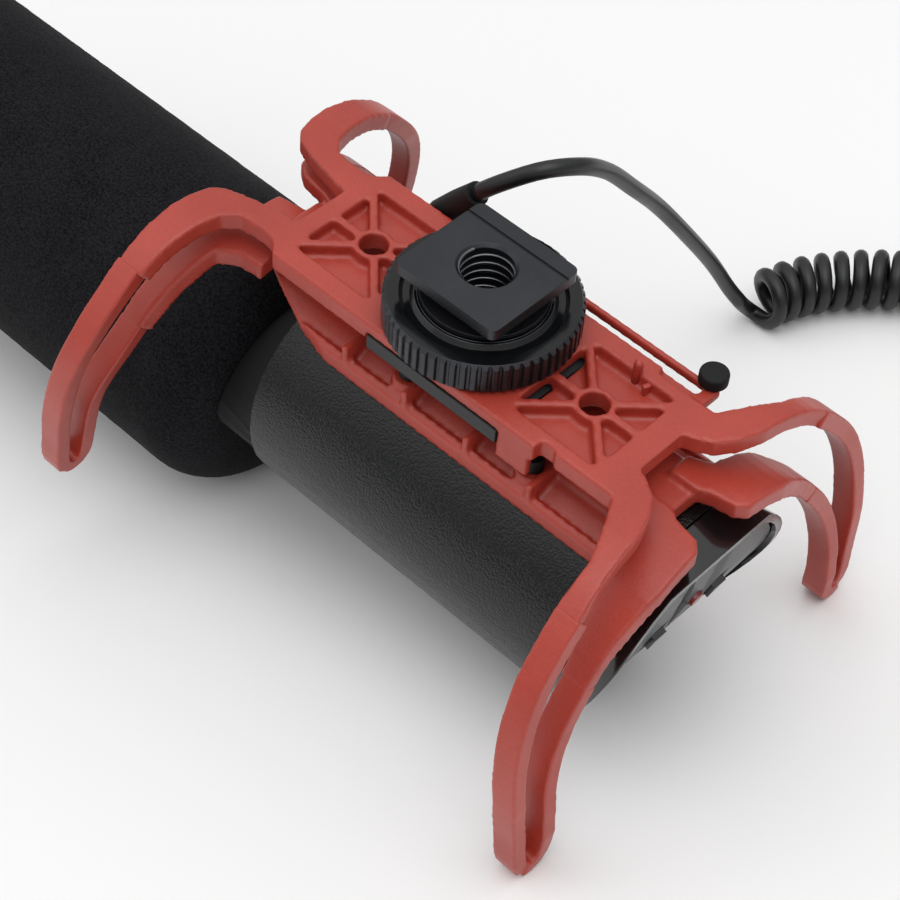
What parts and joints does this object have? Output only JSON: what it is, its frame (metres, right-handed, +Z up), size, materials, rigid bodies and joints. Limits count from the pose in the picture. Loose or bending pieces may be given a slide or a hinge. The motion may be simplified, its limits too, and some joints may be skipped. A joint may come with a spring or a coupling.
{
  "type": "on camera microphone",
  "caption": "Short shotgun microphone in a foam windshield, hung in a red lyre shock mount with a shoe foot, clamping wheel and curly cord; it lies upside down.",
  "frame": {"origin": "on the surface that the part lies on, under the middle of the box round the instrument without its cord", "axes": "+X along the microphone towards its foam front, +Y towards the side away from the cord, +Z up, with the part lying upside down as pictured"},
  "size_m": [0.2397, 0.1865, 0.0767],
  "materials": {
    "red": "satin red moulded thermoplastic",
    "anodised": "black anodised aluminium",
    "bar": "black painted steel",
    "steel": "plain steel screw",
    "shell": "black plastic with a fine leather grain",
    "gloss": "glossy black plastic",
    "rubber": "soft black rubber",
    "foam": "open cell black foam",
    "board": "green circuit board",
    "battery": "battery in its metal jacket",
    "led": "clear green indicator lens",
    "brass": "plated brass",
    "cable": "black cable jacket"
  },
  "bodies": {
    "microphone": {"cradle": "red", "lyre_loop_rear_near": "red", "lyre_loop_rear_far": "red", "lyre_loop_front_near": "red", "lyre_loop_front_far": "red", "interference_tube": "anodised", "tube_nose": "anodised", "cradle_screw_front": "steel", "cradle_screw_rear": "steel", "housing": "shell", "front_collar": "shell", "rear_cap": "gloss", "rear_panel": "gloss", "bumper_front_near": "rubber", "bumper_front_far": "rubber", "bumper_rear_near": "rubber", "bumper_rear_far": "rubber", "capsule_mount": "rubber", "cable_anchor": "rubber", "strain_relief": "rubber", "plug_boot": "rubber", "plug_body": "rubber", "battery_contacts": "rubber", "foam_windshield": "foam", "circuit_board": "board", "battery": "battery", "status_led": "led", "microphone_capsule": "brass", "plug_pin": "brass", "cord_lead": "cable", "curly_cord": "cable", "cord_tail": "cable"},
    "base": {"base_plate": "red", "clamp_bar": "bar", "shoe_foot": "anodised", "cable_grommet": "rubber"},
    "washer": {"clamp_washer": "anodised"},
    "thumbwheel": {"thumbwheel": "anodised"},
    "battery_cover": {"battery_cover": "shell"},
    "power_switch": {"power_switch": "rubber"},
    "level_switch": {"level_switch": "rubber"}
  },
  "joints": [
    {"name": "suspension_slide", "type": "slide", "parent": "microphone", "child": "base", "axis": [-0.1593, 0, 0.9872], "range_m": [-0.0015, 0.0015], "stiffness_N_per_m": 1500, "deforming": ["lyre_loop_rear_near", "lyre_loop_rear_far", "lyre_loop_front_near", "lyre_loop_front_far"]},
    {"name": "washer_lift", "type": "slide", "parent": "base", "child": "washer", "axis": [-0.1593, 0, 0.9872], "range_m": [0, 0.00225]},
    {"name": "wheel_turn", "type": "hinge", "parent": "washer", "child": "thumbwheel", "pos_m": [-0.06326, 0, 0.06369], "axis": [-0.1593, 0, 0.9872], "range_deg": [0, 540]},
    {"name": "battery_cover_slide", "type": "slide", "parent": "microphone", "child": "battery_cover", "axis": [-0.9872, 0, -0.1593], "range_m": [0, 0.01]},
    {"name": "power_switch_slide", "type": "slide", "parent": "microphone", "child": "power_switch", "axis": [-0.5292, 0, 0.8485], "range_m": [-0.0025, 0.0025]},
    {"name": "level_switch_slide", "type": "slide", "parent": "microphone", "child": "level_switch", "axis": [-0.5292, 0, 0.8485], "range_m": [-0.0025, 0.0025]}
  ],
  "couplings": [
    {"joint": "washer_lift", "follows": "wheel_turn", "m_per_rad": 0.00023873}
  ]
}
